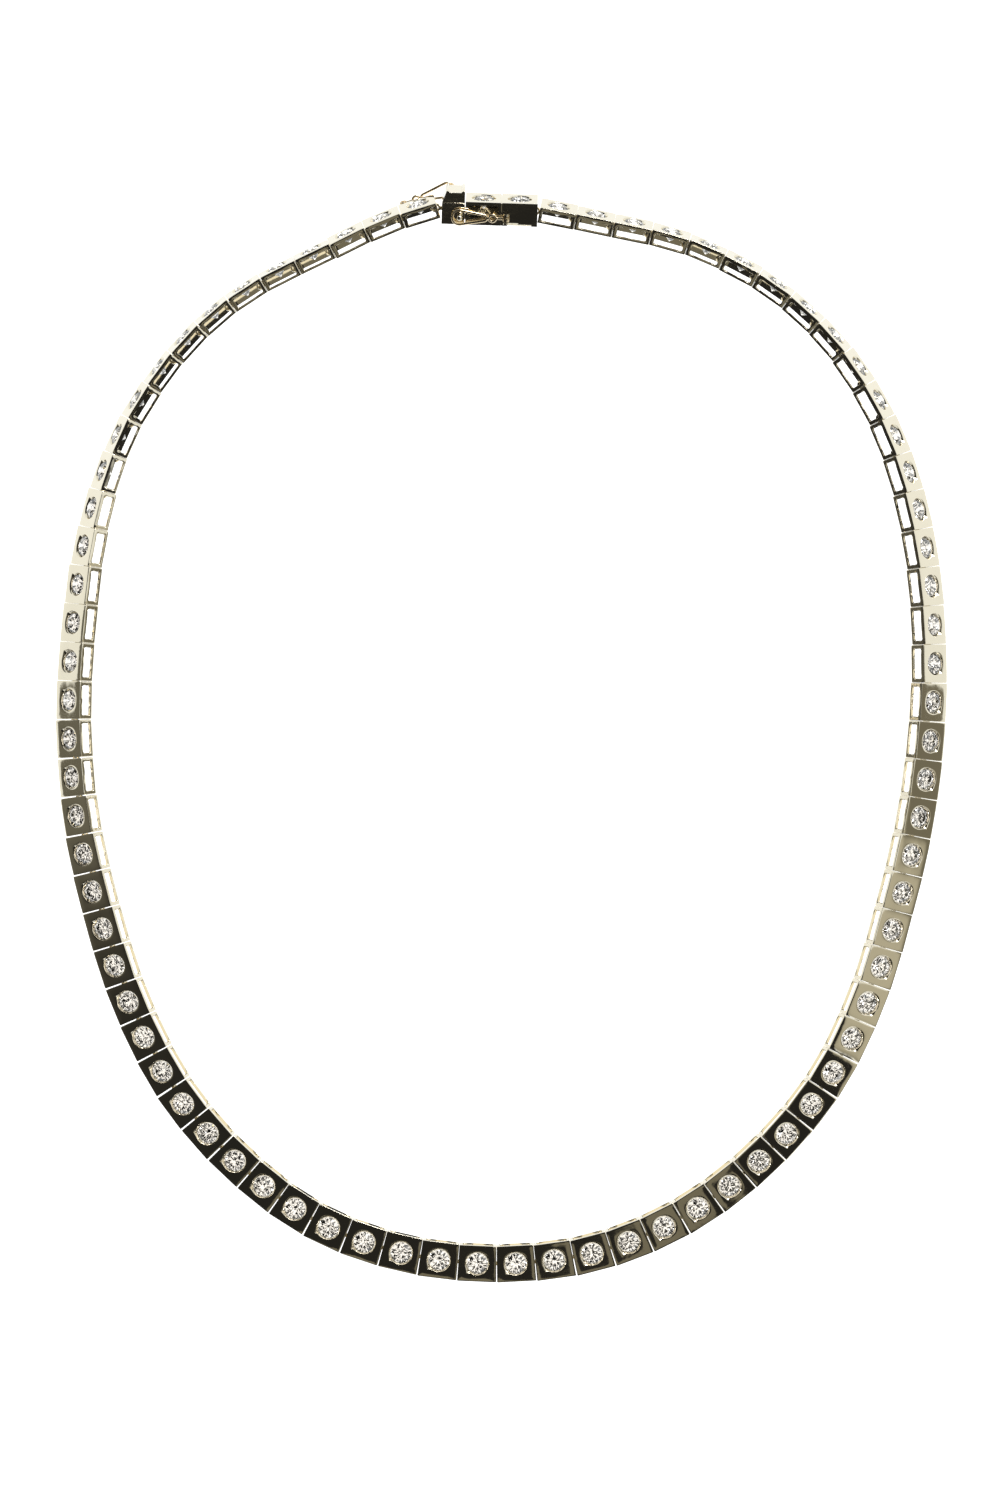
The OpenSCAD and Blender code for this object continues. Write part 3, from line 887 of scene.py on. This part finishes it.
def mixed(share, below, above):
    """One tone where a share is 0 and another where it is 1, each a colour or an output"""
    mix = sky.new("ShaderNodeMix")
    mix.data_type = "RGBA"
    sky_wires.new(share, mix.inputs["Factor"])
    for socket, value in ((mix.inputs["A"], below), (mix.inputs["B"], above)):
        if isinstance(value, tuple):
            socket.default_value = value
        else:
            sky_wires.new(value, socket)
    return mix.outputs["Result"]


def ramp(value, stops):
    """Colours at stops of a value between 0 and 1"""
    made = sky.new("ShaderNodeValToRGB")
    bar = made.color_ramp
    for element, stop in zip(bar.elements, (stops[0], stops[-1])):
        element.position, element.color = stop
    for place, colour in stops[1:-1]:
        bar.elements.new(place).color = colour
    sky_wires.new(value, made.inputs["Fac"])
    return made.outputs["Color"]


wobble = sky_noise(scale=4, detail=1)["Color"]
uneven = vector_math("MULTIPLY_ADD", wobble, (BEND, BEND, BEND), straight)["Vector"]
bent = vector_math("SUBTRACT", uneven, (BEND / 2, BEND / 2, BEND / 2))["Vector"]
backward = share_along(straight, -VIEW_DIR, low=0.1, high=0.9).outputs["Result"]
leftward = vector_math("DOT_PRODUCT", straight, tuple(-RIGHT_DIR))["Value"]
right_tones = mixed(zone(RIGHT_CORE, straight), OLIVE, KHAKI)
room = mixed(backward, SIDE_WHITE, BACK_WHITE)
room = mixed(zone(DARK_SIDE, straight), room, ramp(leftward, DARK_TONES))
room = mixed(zone(RIGHT_SIDE, straight), room, right_tones)
room = mixed(zone(WHITE_PATCH, straight), room, SIDE_WHITE)
for patch in OLIVE_PATCHES:
    room = mixed(zone(patch, bent), room, OLIVE)

gathered = ramp(sky_noise(scale=2.3, detail=2)["Fac"], STONE_TONES)
sideways = share_along(straight, VIEW_DIR, low=0.55, high=-0.1).outputs["Result"]
gathered = mixed(sideways, gathered, STONE_SIDE)

# Rays through the stones see what they gather, and the ground behind the chain is plain white
path = sky.new("ShaderNodeLightPath")
room = mixed(path.outputs["Is Transmission Ray"], room, gathered)
room = mixed(path.outputs["Is Camera Ray"], room, WHITE)
sky_wires.new(room, sky["Background"].inputs["Color"])

# A broad soft lamp above and behind, for the stones
lamp_data = bpy.data.lights.new("Soft lamp", "AREA")
lamp_data.shape = "DISK"
lamp_data.size = 0.5
lamp_data.energy = 6
lamp = bpy.data.objects.new("Soft lamp", lamp_data)
bpy.context.collection.objects.link(lamp)
lamp.location = (0.35, 0.45, 0.9)
lamp.rotation_mode = "QUATERNION"
lamp.rotation_quaternion = Vector(lamp.location).to_track_quat("Z", "Y")

# The camera looks square at the chain's plane
PHOTO_HEIGHT_MM = 210.5
CAMERA_AWAY = 1.5
AIM_UP_MM = -2.1
SENSOR = 36
cam_data = bpy.data.cameras.new("Camera")
cam_data.sensor_width = SENSOR
cam_data.lens = SENSOR * CAMERA_AWAY / (PHOTO_HEIGHT_MM * MM)
cam_data.clip_start = 0.05
cam_data.clip_end = 30
camera = bpy.data.objects.new("Camera", cam_data)
bpy.context.collection.objects.link(camera)
camera.rotation_mode = "QUATERNION"
camera.location = UP_DIR * (AIM_UP_MM * MM) + VIEW_DIR * CAMERA_AWAY
camera.rotation_quaternion = VIEW_DIR.to_track_quat("Z", "Y")
bpy.context.scene.camera = camera
bpy.context.scene.view_settings.view_transform = "Standard"
